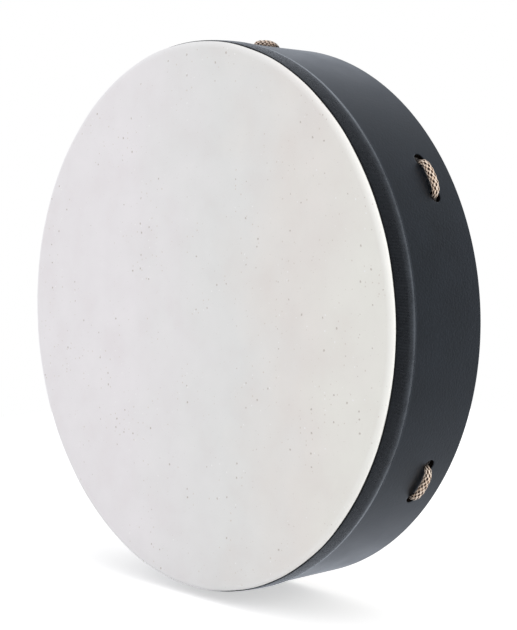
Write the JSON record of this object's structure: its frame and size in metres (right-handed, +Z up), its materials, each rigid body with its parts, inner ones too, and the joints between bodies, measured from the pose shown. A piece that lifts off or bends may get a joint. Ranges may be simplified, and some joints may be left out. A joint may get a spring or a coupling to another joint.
{
  "type": "hand-held frame drum",
  "caption": "Shallow round hand drum with a bonded, pre-tensioned head, a dark wrapped shell and a laced rope grip in its open back.",
  "frame": {"origin": "middle of the rope grip ring, on the drum's axis, in the plane of the lacing holes", "axes": "+Y along the drum's axis out of the open back, so the head faces -Y; +Z up through the top stitch"},
  "size_m": [0.4082, 0.0889, 0.4186],
  "materials": {
    "shell_fibre": "laminated wood fibre, sealed, satin",
    "wrap_vinyl": "charcoal vinyl skin, satin with a fine grain",
    "head_laminate": "off-white laminated membrane, matte, finely flecked",
    "hoop_cloth": "black cloth-faced strap, fine weave",
    "glue": "amber glue line",
    "rope": "tan and brown braided rope"
  },
  "bodies": {
    "drum": {"shell": "shell_fibre", "shell_wrap": "wrap_vinyl", "drum_head": "head_laminate", "head_hoop": "hoop_cloth", "collar_bond": "glue", "lacing_stitch_1": "rope", "lacing_stitch_2": "rope", "lacing_stitch_3": "rope", "lacing_stitch_4": "rope", "lacing_stitch_5": "rope", "lacing_stitch_6": "rope", "lacing_span_1": "rope", "lacing_span_2": "rope", "lacing_span_3": "rope", "lacing_span_4": "rope", "lacing_span_5": "rope", "lacing_span_6": "rope", "joining_knot": "rope"},
    "grip": {"grip_ring": "rope"}
  },
  "joints": [
    {"name": "grip_pull", "type": "slide", "parent": "drum", "child": "grip", "axis": [0, 1, 0], "range_m": [-0.012, 0.015], "stiffness_N_per_m": 1100, "deforming": ["lacing_span_1", "lacing_span_2", "lacing_span_3", "lacing_span_4", "lacing_span_5", "lacing_span_6", "joining_knot"]}
  ]
}
